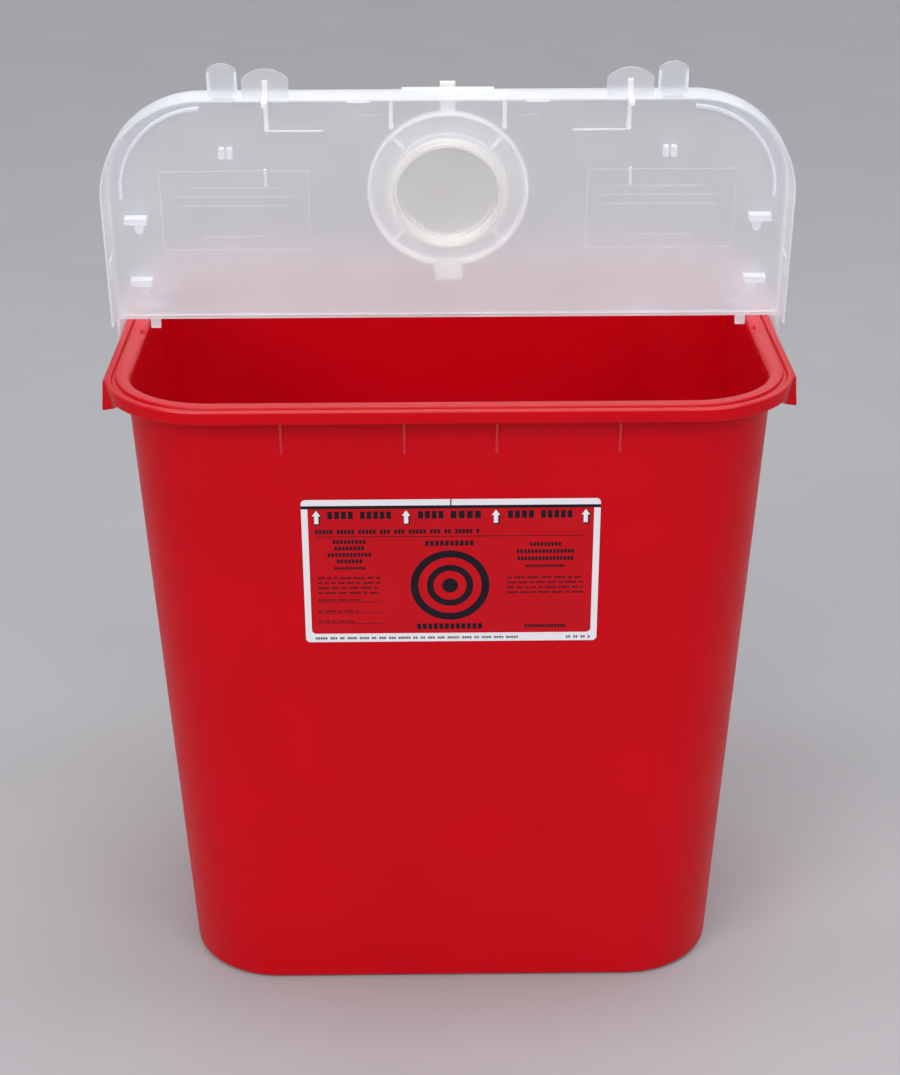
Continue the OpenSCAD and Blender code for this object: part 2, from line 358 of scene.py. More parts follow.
def moulded_bump(material, place, grain_scale, strength, wave_strength):
    """Fine mould texture, over slow waves left by shrinkage."""
    grain = noise(material, place, grain_scale, 2.0, 0.6)
    inputs = {"Height": grain, "Strength": strength, "Distance": 0.00006}
    bump = add_node(material, "ShaderNodeBump", inputs)
    waves = noise(material, place, 9.0, 1.0, 0.4)
    inputs = {
        "Height": waves,
        "Strength": wave_strength,
        "Distance": 0.002,
        "Normal": bump.outputs["Normal"],
    }
    return add_node(material, "ShaderNodeBump", inputs).outputs["Normal"]


def output(material, shader):
    add_node(material, "ShaderNodeOutputMaterial", {"Surface": shader})
    return material


def red_plastic(name, gloss, rough_low, rough_high, grain):
    """Red polypropylene with faint flow marks, and a fine grain unless the mould was polished."""
    material = new_material(name)
    place = object_place(material)
    flow = spread(material, noise(material, place, 14.0, 4.0, 0.55), 0.0, 1.0)
    colour = mix_colour(material, flow, (0.57, 0.0002, 0.0055, 1), (0.62, 0.0004, 0.0075, 1))
    rough = spread(material, noise(material, place, 60.0, 3.0), rough_low, rough_high)
    inputs = {
        "Base Color": colour,
        "Roughness": rough,
        "IOR": 1.49,
        "Specular IOR Level": gloss,
    }
    if grain > 0:
        inputs["Normal"] = moulded_bump(material, place, 1500.0, grain, grain / 6)
    plastic = add_node(material, "ShaderNodeBsdfPrincipled", inputs)
    return output(material, plastic.outputs["BSDF"])


def milky_plastic(name, tint, scatter, blur):
    """Natural polypropylene. Each surface scatters a share of the light, and the rest passes, blurred."""
    material = new_material(name)
    place = object_place(material)
    cloud = spread(material, noise(material, place, 22.0, 4.0, 0.6), 0.0, 1.0)
    dull = tuple(0.94 * part for part in tint[:3]) + (1,)
    colour = mix_colour(material, cloud, dull, tint)
    normal = moulded_bump(material, place, 900.0, 0.2, 0.04)
    rough = spread(material, noise(material, place, 80.0, 3.0), 0.34, 0.46)
    inputs = {"Base Color": colour, "Roughness": rough, "IOR": 1.4, "Normal": normal}
    surface = add_node(material, "ShaderNodeBsdfPrincipled", inputs)
    through = add_node(material, "ShaderNodeBsdfTranslucent", {"Color": colour, "Normal": normal})
    share_through = lerp(0.45, 0.06, scatter)
    milky = mix_shaders(material, share_through, surface.outputs["BSDF"], through.outputs["BSDF"])
    inputs = {"Color": (0.98, 0.98, 0.99, 1), "Roughness": blur, "IOR": 1.3, "Normal": normal}
    clear = add_node(material, "ShaderNodeBsdfGlass", inputs, distribution="MULTI_GGX")
    share = spread(material, cloud, scatter - 0.02, scatter + 0.02, 0.0, 1.0)
    body = mix_shaders(material, share, clear.outputs["BSDF"], milky)
    # Lamps shine through, dimmed a little, so that what lies behind the lid is still lit
    dimmed = add_node(material, "ShaderNodeBsdfTransparent", {"Color": (0.88, 0.88, 0.89, 1)})
    from_lamp = add_node(material, "ShaderNodeLightPath").outputs["Is Shadow Ray"]
    return output(material, mix_shaders(material, from_lamp, body, dimmed.outputs["BSDF"]))


def label_film():
    """Semi-gloss red adhesive film with a faint ripple."""
    material = new_material("label_film")
    place = object_place(material)
    tone = spread(material, noise(material, place, 30.0, 3.0), 0.0, 1.0)
    colour = mix_colour(material, tone, (0.53, 0.0004, 0.0060, 1), (0.57, 0.0006, 0.0080, 1))
    ripple = noise(material, place, 120.0, 2.0)
    bump = add_node(
        material, "ShaderNodeBump", {"Height": ripple, "Strength": 0.08, "Distance": 0.0003}
    )
    inputs = {
        "Base Color": colour,
        "Roughness": spread(material, ripple, 0.30, 0.38),
        "Specular IOR Level": 0.2,
        "Normal": bump.outputs["Normal"],
    }
    film = add_node(material, "ShaderNodeBsdfPrincipled", inputs)
    return output(material, film.outputs["BSDF"])


def ink(name, dark, light, rough):
    """Printing ink with slightly uneven cover."""
    material = new_material(name)
    place = object_place(material)
    cover = spread(material, noise(material, place, 700.0, 3.0, 0.7), 0.0, 1.0)
    colour = mix_colour(material, cover, dark, light)
    gloss = spread(material, cover, rough, rough + 0.08, 0.0, 1.0)
    inputs = {"Base Color": colour, "Roughness": gloss, "Specular IOR Level": 0.2}
    paint = add_node(material, "ShaderNodeBsdfPrincipled", inputs)
    return output(material, paint.outputs["BSDF"])


def floor_paper():
    """Plain pale studio paper."""
    material = new_material("studio_floor")
    place = object_place(material)
    mottle = spread(material, noise(material, place, 6.0, 3.0), 0.0, 1.0)
    colour = mix_colour(material, mottle, (0.46, 0.46, 0.48, 1), (0.48, 0.48, 0.50, 1))
    paper = add_node(
        material, "ShaderNodeBsdfPrincipled", {"Base Color": colour, "Roughness": 0.85}
    )
    return output(material, paper.outputs["BSDF"])


RED_SATIN = red_plastic("tub_red", 0.13, 0.36, 0.44, 0.30)
RED_GLOSS = red_plastic("tub_red_rim", 0.7, 0.28, 0.32, 0.0)
LID_TINT = (0.88, 0.905, 0.94, 1)
CAP_TINT = (0.92, 0.92, 0.89, 1)
LID_THIN = milky_plastic("lid_natural", LID_TINT, 0.265, 0.36)
LID_THICK = milky_plastic("lid_natural_thick", LID_TINT, 0.62, 0.34)
LID_DENSE = milky_plastic("lid_natural_dense", (0.96, 0.97, 0.97, 1), 0.90, 0.34)
LID_CREAM = milky_plastic("lid_natural_cream", (0.94, 0.92, 0.87, 1), 0.50, 0.34)
CAP_THIN = milky_plastic("cap_natural", CAP_TINT, 0.275, 0.34)
CAP_THICK = milky_plastic("cap_natural_thick", CAP_TINT, 0.80, 0.34)
# Slots of these materials on a piece of the lid or the cap, in the order that the piece lists them
THIN, THICK, DENSE, CREAM = 0, 1, 2, 3
LABEL_RED = label_film()
INK_BLACK = ink("ink_black", (0.006, 0.003, 0.008, 1), (0.012, 0.006, 0.014, 1), 0.38)
INK_WHITE = ink("ink_white", (0.80, 0.78, 0.82, 1), (0.88, 0.86, 0.90, 1), 0.40)


# ---------------------------------------------------------------- tub

# Y positions of the points along a straight side, closer together at the slots near the fold
SLOT_FRONT = FOLD.y - 7.0
SLOT_BACK = FOLD.y + 1.0
SIDE_STOPS = [40, 20, 6, SLOT_BACK + 0.3, SLOT_BACK - 0.3, SLOT_FRONT + 0.3, SLOT_FRONT - 0.3, -24, -40]
FRONT_STEPS = 10


def rounded_ring(half_w, half_d, radius, z):
    """Points round a rounded rectangle, in the same order and number for every size."""
    x_in = half_w - radius
    y_in = half_d - radius
    points = arc((x_in, y_in), radius, 0, 90, CORNER_STEPS)
    points += [(lerp(x_in, -x_in, k / FRONT_STEPS), half_d) for k in range(1, FRONT_STEPS)]
    points += arc((-x_in, y_in), radius, 90, 180, CORNER_STEPS)
    points += [(-half_w, y) for y in SIDE_STOPS]
    points += arc((-x_in, -y_in), radius, 180, 270, CORNER_STEPS)
    points += [(lerp(-x_in, x_in, k / FRONT_STEPS), -half_d) for k in range(1, FRONT_STEPS)]
    points += arc((x_in, -y_in), radius, 270, 360, CORNER_STEPS)
    points += [(half_w, y) for y in reversed(SIDE_STOPS)]
    return [Vector((x, y, z)) for x, y in points]


def tub_ring(grow, z):
    """Ring at a height, grown from the tub's outside wall. The wall leans out up to the rim's band."""
    below = 1 - min(z, BAND_LOW) / BAND_LOW
    return rounded_ring(
        WALL_HALF_W - TAPER * below + grow,
        WALL_HALF_D - TAPER * below + grow,
        WALL_RADIUS + BASE_EXTRA_RADIUS * below + grow,
        z,
    )


def on_ear(point):
    """1 along an ear and 0 away from it, with a steep end."""
    return 1 - ramp(abs(point.y), EAR_HALF, EAR_HALF + 2.6)


def band_bottom(point):
    """Height of the band's lower edge, which drops along the ears and rises round the corners."""
    past = (abs(point.y) - EAR_HALF) / 22.0
    return lerp(EAR_LOW, BAND_LOW, min(max(past, 0.0), 1.0) ** 0.8)


def band_ring(grow, down, lift=0.0):
    """Ring of the hanging band. down goes from 0 at its top to 1 at its lower edge."""
    ring = []
    for point in tub_ring(grow, BAND_TOP):
        point.z = lerp(BAND_TOP, band_bottom(point), down) + lift
        side = math.copysign(1, point.x)
        ear = on_ear(point)
        straight = WALL_HALF_W + grow + lerp(EAR_BULGE, 0, down) + EAR_FLARE * down ** 1.2
        scoop = 3.2 * down * (1 - ramp(abs(point.y), EAR_HALF + 4, EAR_HALF + 24)) * (1 - ear)
        point.x = side * lerp(abs(point.x) - scoop, straight, ear)
        ring.append(point)
    return ring


def rim_ring(grow, z, on_side=0.0, side_z=0.0):
    """Ring on top of the rim. Along the sides with the ears, on_side moves it out and side_z up."""
    ring = []
    for point in tub_ring(grow, z):
        ear = 1 - ramp(abs(point.y), EAR_HALF - 22, EAR_HALF + 14)
        point.x += math.copysign(on_side * ear, point.x)
        point.z += side_z * ear
        ring.append(point)
    return ring


def slotted(ring, depth):
    """Sinks the stretch of a ring at the slots near the fold."""
    for point in ring:
        if SLOT_FRONT < point.y < SLOT_BACK and abs(point.x) > WALL_HALF_W - 10:
            point.z -= depth
    return ring


def quarter_turns():
    """Angles in radians for the rings of a round edge."""
    return [math.radians(angle) for angle in range(0, 91, 15)]


def outside_rings():
    """From the recess in the underside, round the foot and up the wall to the underside of the rim."""
    rings = [
        tub_ring(-FOOT_RECESS - 3, 1.2),
        tub_ring(-FOOT_RECESS - 1, 1.0),
        tub_ring(-FOOT_RECESS, 0.0),
    ]
    for turn in quarter_turns():
        inset = FOOT_ROUND - FOOT_ROUND * math.sin(turn)
        rings.append(tub_ring(-inset, FOOT_ROUND - FOOT_ROUND * math.cos(turn)))
    for z in (45, 110, 180, 250, 310, 355, 378, RIM_TOP - 5.2):
        rings.append(tub_ring(0, z))
    rings.append(tub_ring(0.4, RIM_TOP - 4.1))
    rings.append(tub_ring(1.5, RIM_TOP - 3.6))
    rings.append(tub_ring(8.4, RIM_TOP - 3.6))
    return rings


def hanging_band_rings():
    """Down the inner face of the band, round its lower edge and up its outer face."""
    rings = [band_ring(10.0, down) for down in (0.12, 0.4, 0.7)]
    rings += [band_ring(10.1, 1.0, 0.6), band_ring(10.6, 1.0), band_ring(11.4, 1.0)]
    rings.append(band_ring(11.9, 1.0, 0.5))
    rings += [band_ring(RIM_REACH, down) for down in (0.85, 0.6, 0.35, 0.12)]
    rings.append(band_ring(11.9, 0.0))
    return rings


def rim_rings():
    """Inwards over the rim: the outer ridge, the groove, the inner bead and the mouth's edge."""
    ridge = [
        rim_ring(11.5, RIM_TOP - 0.95, 0.4, -0.5),
        rim_ring(10.9, RIM_TOP - 0.6, -0.5, -0.15),
        rim_ring(9.4, RIM_TOP - 0.6),
        rim_ring(8.8, RIM_TOP - 1.1),
        rim_ring(8.5, RIM_TOP - 2.0),
    ]
    groove = [rim_ring(8.2, GROOVE, 0.3), rim_ring(6.3, GROOVE, 1.2)]
    bead = [
        rim_ring(5.9, RIM_TOP - 2.1, 1.2),
        rim_ring(5.7, RIM_TOP - 1.1, 1.2),
        rim_ring(5.5, RIM_TOP - 0.4, 1.2),
        rim_ring(4.9, RIM_TOP, 1.2),
        rim_ring(1.4, RIM_TOP),
    ]
    mouth = [
        slotted(tub_ring(1.3, RIM_TOP), 1.5),
        slotted(tub_ring(0.1, RIM_TOP - 0.05), 1.45),
        slotted(tub_ring(-0.6, RIM_TOP - 0.5), 1.2),
        tub_ring(-1.6, RIM_TOP - 1.7),
        tub_ring(-2.2, RIM_TOP - 2.9),
    ]
    return ridge + groove + bead + mouth


def inside_rings():
    """Down the inside of the wall and round the fillet to the floor."""
    rings = []
    for z in (RIM_TOP - 6, 370, 330, 280, 220, 160, 100, 50, 20):
        rings.append(tub_ring(-WALL, z))
    for turn in quarter_turns():
        inset = WALL + FLOOR_FILLET - FLOOR_FILLET * math.cos(turn)
        rings.append(tub_ring(-inset, FLOOR + FLOOR_FILLET - FLOOR_FILLET * math.sin(turn)))
    return rings


def add_rim_gusset(target, x, side):
    """Thin web between the wall and the underside of the rim."""
    wall = WALL_HALF_D
    profile = [
        (wall - 1.6, BAND_LOW - 24),
        (wall - 0.9, BAND_LOW - 22),
        (wall + 1.9, BAND_LOW - 1),
        (wall + 9.0, BAND_LOW + 5.3),
        (wall - 1.0, BAND_LOW + 5.3),
    ]
    upright = Matrix(((0, 0, 1, x), (side, 0, 0, 0), (0, 1, 0, 0), (0, 0, 0, 1)))
    add_prism(target, profile, -GUSSET_T / 2, GUSSET_T / 2, 0.5, 1, upright)


def build_tub():
    source = bmesh.new()
    rings = outside_rings() + hanging_band_rings() + rim_rings() + inside_rings()
    polished = GROOVE - 0.8
    on_rim = [step for step, ring in enumerate(rings) if min(point.z for point in ring) > polished]
    add_loft(source, rings, slots=on_rim)
    for side in (-1, 1):
        for x in (-GUSSET_OUT, -GUSSET_IN, GUSSET_IN, GUSSET_OUT):
            add_rim_gusset(source, x, side)
    gate = [(0.0, 0.55), (2.6, 0.55), (3.0, 0.8), (3.2, 1.3)]
    add_lathe(source, gate, steps=32)
    return make_piece("tub_body", source, [RED_SATIN, RED_GLOSS], "tub", ["tub"])


# ---------------------------------------------------------------- label printing

INK_T = 0.05
INK_SINK = 0.01
FILM_T = 0.25
LABEL_W = label_high.x - label_low.x
LABEL_H = 92.0
label_place = Matrix.Translation((0, label_high.y - FILM_T, label_low.z)) @ Matrix.Rotation(
    math.radians(90) + LEAN, 4, "X"
)


def print_shape(target, outline, slot=0, layer=0):
    """Thin layer of ink over an outline, on the film or on an earlier layer."""
    low = layer * INK_T
    add_prism(target, outline, low - INK_SINK, low + INK_T, 0, slot, label_place)


def print_bar(target, u0, v0, u1, v1, slot=0, layer=0):
    print_shape(target, rectangle(u0, v0, u1, v1), slot, layer)


def print_words(target, dice, u0, u1, v0, v1, letter):
    """A line of print as plain dashes in groups, from u0 to u1."""
    u = u0
    gap = 0.35 * letter
    while u < u1 - letter:
        for _ in range(dice.choice((2, 3, 4, 5))):
            if u + letter > u1:
                break
            print_bar(target, u, v0, u + letter, v1)
            u += letter + gap
        u += 1.3 * letter


def print_ring(target, centre, inner, outer):
    outline = rectangle(inner, -INK_SINK, outer, INK_T)
    add_lathe(target, outline + outline[:1], 72, centre, place=label_place)


def print_arrow(target, u, v, size, grow, slot, layer):
    """Arrow that points up, grown evenly all round."""
    half = 2.6 * size + grow
    stem = 1.3 * size + grow
    top = v + 4.6 * size + 1.3 * grow
    shoulder = v + 0.8 * size - grow
    foot = v - 4.4 * size - grow
    outline = [
        (u - stem, foot),
        (u + stem, foot),
        (u + stem, shoulder),
        (u + half, shoulder),
        (u, top),
        (u - half, shoulder),
        (u - stem, shoulder),
    ]
    print_shape(target, outline, slot, layer)


def print_blocks(target, u0, u1, v0, v1):
    """A bold word as evenly spaced upright blocks between u0 and u1."""
    pitch = 0.86 * (v1 - v0)
    count = max(2, round((u1 - u0) / pitch))
    pitch = (u1 - u0) / count
    for k in range(count):
        print_bar(target, u0 + k * pitch, v0, u0 + (k + 0.72) * pitch, v1)


def print_heading(target, u, v, half_widths, pitch):
    """Centred bold words, one a row from v down, with a lower one last."""
    for row, half in enumerate(half_widths):
        low = v - pitch * row
        high = low + (1.7 if row == len(half_widths) - 1 else 2.4)
        print_blocks(target, u - half, u + half, low, high)


def print_paragraph(target, dice, u0, u1, v):
    """Four lines of small print."""
    for row in range(4):
        low = v - 3.2 * row
        print_words(target, dice, u0, u1, low, low + 1.2, 0.95)


def build_label():
    film = frame["nodes"]["front_label"]
    film.data.materials.clear()
    film.data.materials.append(LABEL_RED)

    black, white = 0, 1
    source = bmesh.new()
    dice = random.Random(11)
    edge = LABEL_W / 2 - 0.4
    inner = LABEL_W / 2 - 4.0
    top_v = LABEL_H - 4.2
    foot_v = 5.9
    corner = 2.6
    top_band = [(-edge, top_v), (edge, top_v)]
    top_band += arc((edge - corner, LABEL_H - 0.4 - corner), corner, 0, 90, 6)
    top_band += arc((-edge + corner, LABEL_H - 0.4 - corner), corner, 90, 180, 6)
    foot_band = [(edge, foot_v), (-edge, foot_v)]
    foot_band += arc((-edge + corner, 0.4 + corner), corner, 180, 270, 6)
    foot_band += arc((edge - corner, 0.4 + corner), corner, 270, 360, 6)
    for band in (top_band, foot_band):
        print_shape(source, band, white)
    for side in (-1, 1):
        fillet = arc((side * (inner - corner), foot_v + corner), corner, 270, 270 + side * 90, 8)
        border = [(side * edge, top_v), (side * edge, foot_v)] + fillet + [(side * inner, top_v)]
        print_shape(source, border, white)

    # Fill line, its arrows and the words between them
    print_bar(source, -edge, top_v - 1.9, edge, top_v, black, layer=1)
    print_bar(source, -0.35, top_v, 0.35, LABEL_H - 0.4, black, layer=1)
    for u in (-75.2, -25.0, 25.2, 75.4):
        print_arrow(source, u + 0.35, 80.4, 0.92, 0.5, black, 0)
        print_arrow(source, u, 80.7, 0.92, 0.0, white, 1)
    for u0, u1 in ((-69.0, -32.4), (-18.3, 18.0), (31.9, 68.9)):
        split = lerp(u0, u1, 0.46)
        print_blocks(source, u0, split - 1.5, 79.6, 84.3)
        print_blocks(source, split + 1.5, u1, 79.6, 84.3)

    # Heading under the fill line
    print_words(source, dice, -76.0, 17.4, 70.2, 72.9, 1.5)
    print_bar(source, -76.0, 68.2, 75.0, 68.6, black)

    # Left column
    print_heading(source, -57.0, 64.0, (9.5, 8.6, 12.5, 7.5, 9.0), 4.1)
    print_paragraph(source, dice, -75.4, -39.0, 41.6)
    for v in (26.5, 19.3, 12.4):
        print_bar(source, -76.0, v, -39.0, v + 0.3, black)
        print_words(source, dice, -75.8, -58.0 + 0.3 * v, v + 1.0, v + 2.0, 0.95)

    # Middle: a plain emblem of rings between two lines of print
    print_blocks(source, -14.5, 13.5, 62.4, 65.6)
    for inner_r, outer_r in ((18.0, 22.4), (9.4, 13.2), (0.0, 4.6)):
        print_ring(source, (-0.6, 37.0), inner_r, outer_r)
    print_blocks(source, -19.5, 18.5, 8.6, 12.2)

    # Right column
    print_heading(source, 53.5, 61.8, (9.0, 16.5, 16.0, 11.0), 4.5)
    print_paragraph(source, dice, 31.9, 75.6, 41.2)
    print_blocks(source, 42.0, 66.0, 9.2, 11.2)

    # Foot line
    print_words(source, dice, -78.0, 40.0, 2.0, 3.6, 1.05)
    print_words(source, dice, 66.0, 80.0, 2.0, 3.6, 1.05)
    return make_piece("label_printing", source, [INK_BLACK, INK_WHITE], "tub")


# ---------------------------------------------------------------- lid shells

TOP_ROUND = 2.2
SKIRT_PROFILE = [
    (TOP_ROUND, 0.0),
    (1.25, -0.12),
    (0.5, -0.5),
    (0.12, -1.2),
    (0.0, -2.2),
    (0.0, -9.0),
    (0.0, -SKIRT_DEPTH + 0.6),
    (0.25, -SKIRT_DEPTH + 0.15),
    (0.8, -SKIRT_DEPTH),
    (SKIRT_T - 0.25, -SKIRT_DEPTH + 0.15),
    (SKIRT_T, -SKIRT_DEPTH + 0.6),
    (SKIRT_T, -9.0),
    (SKIRT_T, -PANEL_T - 1.8),
    (SKIRT_T + 0.2, -PANEL_T - 0.8),
    (SKIRT_T + 0.9, -PANEL_T - 0.15),
    (SKIRT_T + 2.0, -PANEL_T),
]
LID_CORNER_STEPS = 28
LID_EDGE_STEPS = 14


def lid_path(inset, reach):
    """Half of the lid's outline from the left end of the fold to the right one, as (x, distance from the
    fold), shrunk by an inset."""
    x_in = LID_HALF_W - LID_RADIUS
    s_in = reach - LID_RADIUS
    radius = LID_RADIUS - inset
    side = [FOLD_GAP, 8, 24, 40, 56, 70]
    points = [(-x_in - radius, s) for s in side]
    points += [(x, s) for x, s in arc((-x_in, s_in), radius, 180, 90, LID_CORNER_STEPS)]
    points += [(lerp(-x_in, x_in, k / LID_EDGE_STEPS), s_in + radius) for k in range(1, LID_EDGE_STEPS)]
    points += [(x, s) for x, s in arc((x_in, s_in), radius, 90, 0, LID_CORNER_STEPS)]
    points += [(x_in + radius, s) for s in reversed(side)]
    return points


def lid_point(x, s, z, front):
    """A point of the closed lid. front is -1 for the front half and 1 for the rear half."""
    return Vector((x, FOLD.y + front * s, LID_TOP + z))


def port_circle(radius, steps=96):
    return [
        (radius * math.cos(2 * math.pi * k / steps), PORT_S + radius * math.sin(2 * math.pi * k / steps))
        for k in range(steps)
    ]


def add_flat(part, loops, z, front):
    """Fills the area between an outline and its holes, at one height."""
    flat = [[lid_point(x, s, z, front) for x, s in loop] for loop in loops]
    points = [point for loop in flat for point in loop]
    verts = [part.verts.new(point) for point in points]
    for a, b, c in tessellate_polygon(flat):
        part.faces.new((verts[a], verts[b], verts[c]))


def port_profile():
    """(radius, height) from the top of the panel, over the collar and down the chute to its underside."""
    chute_r = PORT_R + CHUTE_T
    return [
        (COLLAR_R + 0.9, 0.0),
        (COLLAR_R + 0.25, 0.25),
        (COLLAR_R, 0.9),
        (COLLAR_R - 0.1, COLLAR_H - 0.5),
        (COLLAR_R - 0.6, COLLAR_H),
        (PORT_R + 0.6, COLLAR_H),
        (PORT_R + 0.05, COLLAR_H - 0.5),
        (PORT_R - 0.2, CHUTE_LOW + 0.4),
        (PORT_R + 0.2, CHUTE_LOW),
        (chute_r - 0.4, CHUTE_LOW),
        (chute_r, CHUTE_LOW + 0.4),
        (chute_r + 0.2, -PANEL_T - 0.5),
        (chute_r + 0.7, -PANEL_T),
    ]


def add_lid_shell(target, reach, front, port, place=None):
    """Top panel and skirt of one half of the lid as one closed shell, with the port's wall if asked."""
    part = bmesh.new()
    paths = [lid_path(inset, reach) for inset, _ in SKIRT_PROFILE]
    rows = [
        [part.verts.new(lid_point(x, s, z, front)) for x, s in path]
        for path, (_, z) in zip(paths, SKIRT_PROFILE)
    ]
    for upper, lower in zip(rows, rows[1:]):
        for i in range(len(upper) - 1):
            part.faces.new((upper[i], upper[i + 1], lower[i + 1], lower[i]))
    for face in part.faces:
        face.material_index = THICK
    part.faces.new([row[0] for row in rows] + [row[-1] for row in reversed(rows)])
    holes = ([], [])
    if port:
        profile = port_profile()
        circles = [
            [part.verts.new(lid_point(x, s, z, front)) for x, s in port_circle(radius)]
            for radius, z in profile
        ]
        count = len(circles[0])
        for k, (upper, lower) in enumerate(zip(circles, circles[1:])):
            flat = profile[k][1] == profile[k + 1][1]
            for i in range(count):
                j = (i + 1) % count
                face = part.faces.new((upper[i], upper[j], lower[j], lower[i]))
                face.material_index = THICK if flat else CREAM
        holes = ([port_circle(profile[0][0])], [port_circle(profile[-1][0])])
    add_flat(part, [paths[0]] + holes[0], SKIRT_PROFILE[0][1], front)
    add_flat(part, [paths[-1]] + holes[1], SKIRT_PROFILE[-1][1], front)
    bmesh.ops.remove_doubles(part, verts=part.verts, dist=MERGE)
    bmesh.ops.recalc_face_normals(part, faces=part.faces)
    merge(target, part, place)


def add_under(target, outline, hang, soft, front, place=None, slot=THICK):
    """Prism that hangs under the panel. The outline is in (x, distance from the fold)."""
    points = [(x, FOLD.y + front * s) for x, s in outline]
    add_prism(target, points, LID_TOP - PANEL_T - hang, LID_TOP - PANEL_T + 0.1, soft, slot, place)


def add_rest_lug(target, x, s, front, place=None):
    """Block that stops just above the rim when the lid is closed, with a round nose towards the fold."""
    outline = rectangle(x - LUG_W / 2, s, x + LUG_W / 2, s + LUG_L)
    add_under(target, outline, LUG_H, 0.4, front, place)
    nose_x = x - math.copysign(2, x)
    nose = [(nose_x - 3.3, s + 0.5), (nose_x + 3.3, s + 0.5)]
    nose += [(nose_x + px, s - 3.2 + py) for px, py in arc((0, 0), 2.4, 0, -180, 10)]
    add_under(target, nose, LUG_H, 0.3, front, place)


def tongue_outline(width, reach, root):
    """Outline of a tab along -Y with a bowed end, root being how far it runs back past its origin."""
    rise = width / 4.5
    radius = (width * width / 4 + rise * rise) / (2 * rise)
    half_angle = math.degrees(math.asin(width / 2 / radius))
    bow = arc((0, -(reach - radius)), radius, 270 - half_angle, 270 + half_angle, 16)
    return [(-width / 2, root)] + bow + [(width / 2, root)]


# ---------------------------------------------------------------- raised front half of the lid


def add_corner_rib(target, side):
    """Quarter-round rib under the panel, concentric with the corner."""
    centre = (side * (LID_HALF_W - LID_RADIUS), FLAP_REACH - LID_RADIUS)
    radius = LID_RADIUS - 10
    width = 1.6
    start, end = (-4, 88) if side > 0 else (184, 92)
    outline = arc(centre, radius + width / 2, start, end, 30)
    outline += list(reversed(arc(centre, radius - width / 2, start, end, 30)))
    add_under(target, outline, 3.0, 0.3, -1, to_rest)


def add_skirt_rib(target, x, end_s):
    """Rib from the front skirt that ends in a round foot."""
    foot_r = 1.5
    half = 1.1
    root = FLAP_REACH - SKIRT_T + 0.3
    outline = [(x - half, root), (x - half, end_s + 2 * foot_r)]
    outline += arc((x, end_s + foot_r), foot_r, 180, 360, 12)
    outline += [(x + half, end_s + 2 * foot_r), (x + half, root)]
    add_under(target, outline, 5.0, 0.35, -1, to_rest, DENSE)


def add_panel_bar(target, x, s, w, l, hang, soft=0.2, slot=THICK):
    outline = rectangle(x - w / 2, s - l / 2, x + w / 2, s + l / 2)
    add_under(target, outline, hang, soft, -1, to_rest, slot)


def add_raised_frame(target, x, s, w, l):
    """Thin raised rectangle under the panel, with plain raised bars in place of wording."""
    line = 0.6
    for edge in (-1, 1):
        add_panel_bar(target, x, s + edge * (l - line) / 2, w, line, 0.12, 0.04, THIN)
        add_panel_bar(target, x + edge * (w - line) / 2, s, line, l - 2 * line, 0.12, 0.04, THIN)
    for row, share in enumerate((0.62, 0.84, 0.74)):
        add_panel_bar(target, x, s + 14 - 5.5 * row, share * w, 0.6, 0.06, 0.02, THIN)
    add_panel_bar(target, x, s - 16, 0.45 * w, 0.6, 0.06, 0.02, THIN)


def add_finger_tab(target, side):
    """Thin tab to lift the lid by, with its gusset and the latch prong behind it."""
    at = Matrix.Translation((side * FINGER_X, FOLD.y - FLAP_REACH, LID_TOP - SKIRT_DEPTH))
    tongue = tongue_outline(FINGER_W, FINGER_REACH, SKIRT_T - 0.2)
    add_prism(target, tongue, 0, 1.2, 0.3, place=to_rest @ at)
    add_bar(target, (0, -4.9, -0.7), (3.2, 12.2, 1.8), 0.4, DENSE, to_rest @ at)
    add_bar(target, (0, -1.0, -6.3), (3.2, 2.8, 13.4), 0.5, DENSE, to_rest @ at)


def add_lock_foot(target, side):
    """Foot on the skirt with the round groove that a locking tab turns in."""
    block = [
        (-SKIRT_T + 0.2, -0.8),
        (-SKIRT_T + 0.2, 1.8),
        (1.0, 1.8),
        (1.2, 1.5),
    ]
    block += arc((1.2, 0), PIN_R, 90, 270, 10)
    block = [(-s, z) for s, z in block]
    at = Matrix.Translation((side * LOCK_X, FOLD.y - FLAP_REACH, LID_TOP + LOCK_PIN_Z))
    half = LOCK_FOOT_HALF_W
    add_prism(target, block, -half, half, 0.15, THICK, to_rest @ at @ ACROSS)


